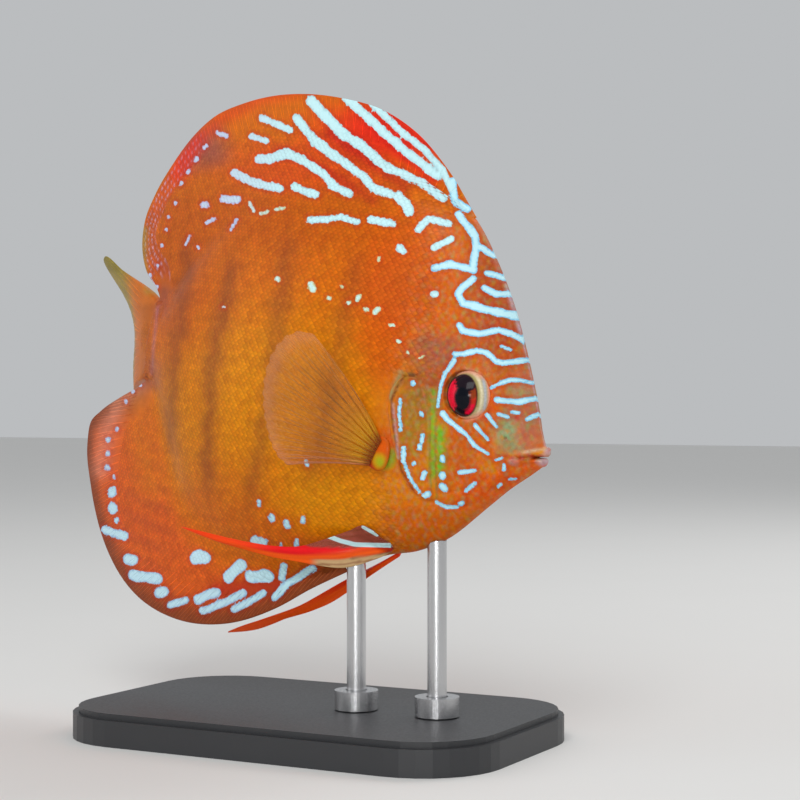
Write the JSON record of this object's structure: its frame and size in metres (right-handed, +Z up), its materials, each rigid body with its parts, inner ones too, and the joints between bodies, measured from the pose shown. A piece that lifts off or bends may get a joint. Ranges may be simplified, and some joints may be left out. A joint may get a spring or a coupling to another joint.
{
  "type": "discus fish display model on a stand",
  "caption": "Still, life-size discus fish with a tall flat body, long median fins and trailing pelvic fins, held over a flat base by two short rods.",
  "frame": {"origin": "centre of the stand base's underside", "axes": "+Z up, +X towards the fish's head, -Y the side that its right flank faces"},
  "size_m": [0.1653, 0.0914, 0.1651],
  "materials": {
    "skin": "painted, scaled fish skin in orange and golden yellow with pale blue markings, semi-gloss",
    "gill_cover": "painted fish skin, smooth, olive orange with pale blue markings, semi-gloss",
    "fin": "rayed fin, red orange with pale blue marks, semi-gloss",
    "clear_fin": "thin translucent rayed fin, amber, glossy",
    "eye": "clear-coated eye with a black pupil and a red iris",
    "stand_base": "matt dark grey lacquer",
    "stand_rod": "brushed stainless steel"
  },
  "bodies": {
    "root": {"head": "skin", "gill_cover_right": "gill_cover", "gill_cover_left": "gill_cover", "eye_right": "eye", "eye_left": "eye", "trunk": "skin", "tail_stem": "skin", "dorsal_fin": "fin", "anal_fin": "fin", "caudal_fin": "clear_fin", "pectoral_fin_right": "clear_fin", "pectoral_fin_left": "clear_fin", "pelvic_fin_right": "fin", "pelvic_fin_left": "fin", "stand_base": "stand_base", "stand_rod_1": "stand_rod", "stand_rod_2": "stand_rod", "stand_socket_1": "stand_rod", "stand_socket_2": "stand_rod"}
  },
  "joints": []
}
